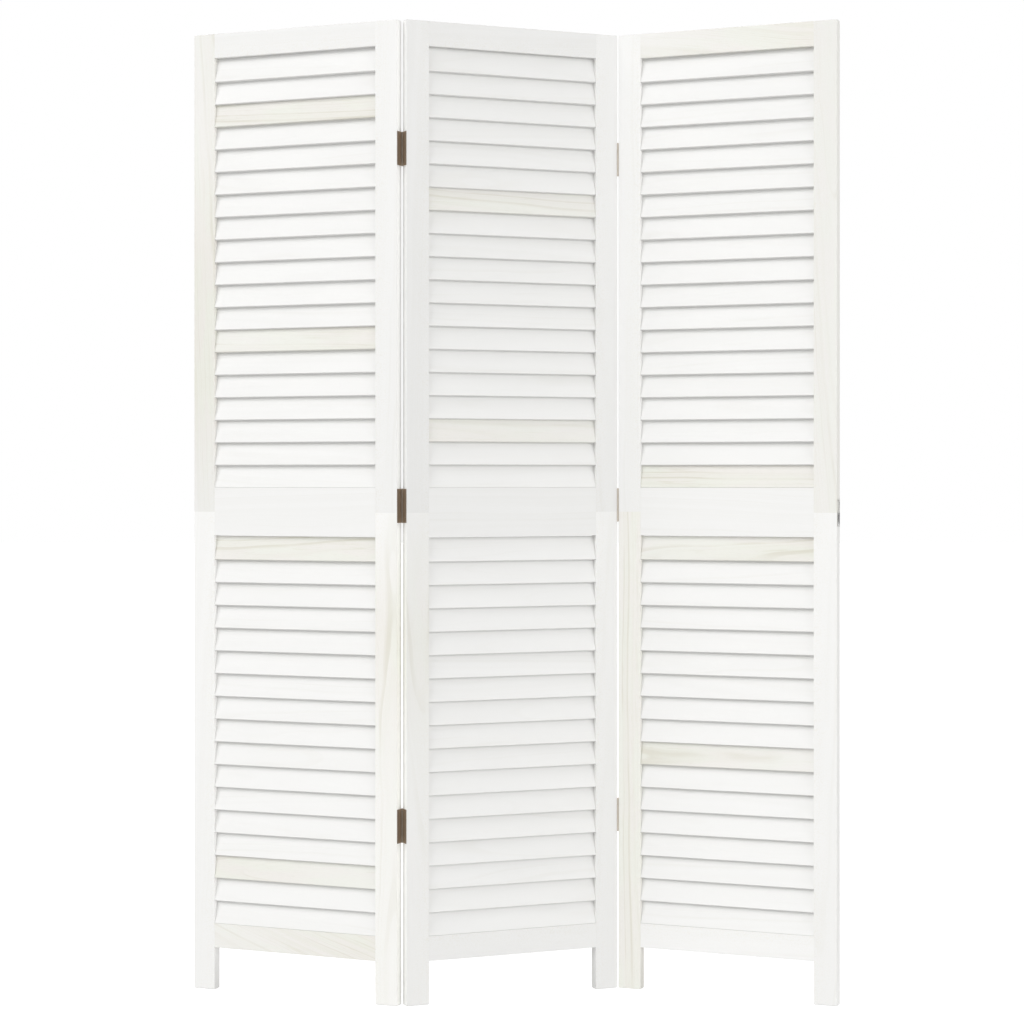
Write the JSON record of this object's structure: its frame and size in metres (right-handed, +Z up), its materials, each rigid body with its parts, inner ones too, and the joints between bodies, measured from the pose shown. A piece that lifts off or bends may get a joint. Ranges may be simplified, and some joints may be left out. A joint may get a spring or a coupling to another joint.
{
  "type": "folding room divider screen",
  "caption": "Freestanding folding privacy screen: louvred white-painted wooden panels on short legs, hinged edge to edge so they stand in a zigzag and fold flat.",
  "frame": {"origin": "on the floor, under the middle of the screen as it stands in its zigzag", "axes": "+X to the right along the row of panels, +Y to the back, +Z up; seen from the front, the left and right panels have their right edges nearer, and the middle panel its left edge"},
  "size_m": [1.1336, 0.1736, 1.7],
  "materials": {
    "frame_paint": "white paint over pale close-grained softwood, silk matt",
    "slat_paint": "white paint over pale close-grained softwood, silk matt",
    "dowel_wood": "bare turned hardwood",
    "hinge_metal": "bronze-brown lacquered steel, satin",
    "hinge_screw_metal": "bronze-brown lacquered steel, satin",
    "hinge_pin_metal": "dull zinc-plated steel",
    "catch_metal": "dull zinc-plated steel",
    "catch_screw_metal": "black lacquered steel, satin"
  },
  "bodies": {
    "middle_panel": {"middle_panel_left_stile": "frame_paint", "middle_panel_right_stile": "frame_paint", "middle_panel_top_rail": "frame_paint", "middle_panel_middle_rail": "frame_paint", "middle_panel_bottom_rail": "frame_paint", "middle_panel_dowels": "dowel_wood", "middle_panel_upper_slats": "slat_paint", "middle_panel_lower_slats": "slat_paint", "left_hinge_top_leaf_middle": "hinge_metal", "left_hinge_top_pin": "hinge_pin_metal", "left_hinge_middle_leaf_middle": "hinge_metal", "left_hinge_middle_pin": "hinge_pin_metal", "left_hinge_bottom_leaf_middle": "hinge_metal", "left_hinge_bottom_pin": "hinge_pin_metal", "left_hinge_screws_middle": "hinge_screw_metal", "right_hinge_top_leaf_middle": "hinge_metal", "right_hinge_top_pin": "hinge_pin_metal", "right_hinge_middle_leaf_middle": "hinge_metal", "right_hinge_middle_pin": "hinge_pin_metal", "right_hinge_bottom_leaf_middle": "hinge_metal", "right_hinge_bottom_pin": "hinge_pin_metal", "right_hinge_screws_middle": "hinge_screw_metal"},
    "left_panel": {"left_panel_left_stile": "frame_paint", "left_panel_right_stile": "frame_paint", "left_panel_top_rail": "frame_paint", "left_panel_middle_rail": "frame_paint", "left_panel_bottom_rail": "frame_paint", "left_panel_dowels": "dowel_wood", "left_panel_upper_slats": "slat_paint", "left_panel_lower_slats": "slat_paint", "left_hinge_top_leaf_left": "hinge_metal", "left_hinge_middle_leaf_left": "hinge_metal", "left_hinge_bottom_leaf_left": "hinge_metal", "left_hinge_screws_left": "hinge_screw_metal"},
    "right_panel": {"right_panel_left_stile": "frame_paint", "right_panel_right_stile": "frame_paint", "right_panel_top_rail": "frame_paint", "right_panel_middle_rail": "frame_paint", "right_panel_bottom_rail": "frame_paint", "right_panel_dowels": "dowel_wood", "right_panel_upper_slats": "slat_paint", "right_panel_lower_slats": "slat_paint", "right_hinge_top_leaf_right": "hinge_metal", "right_hinge_middle_leaf_right": "hinge_metal", "right_hinge_bottom_leaf_right": "hinge_metal", "right_hinge_screws_right": "hinge_screw_metal", "edge_catch_plate": "catch_metal", "edge_catch_screws": "catch_screw_metal"}
  },
  "joints": [
    {"name": "left_fold", "type": "hinge", "parent": "middle_panel", "child": "left_panel", "pos_m": [-0.18948, -0.07035, 0.85], "axis": [0, 0, 1], "range_deg": [-134, 46]},
    {"name": "right_fold", "type": "hinge", "parent": "middle_panel", "child": "right_panel", "pos_m": [0.18936, 0.07035, 0.85], "axis": [0, 0, 1], "range_deg": [-134, 46]}
  ]
}
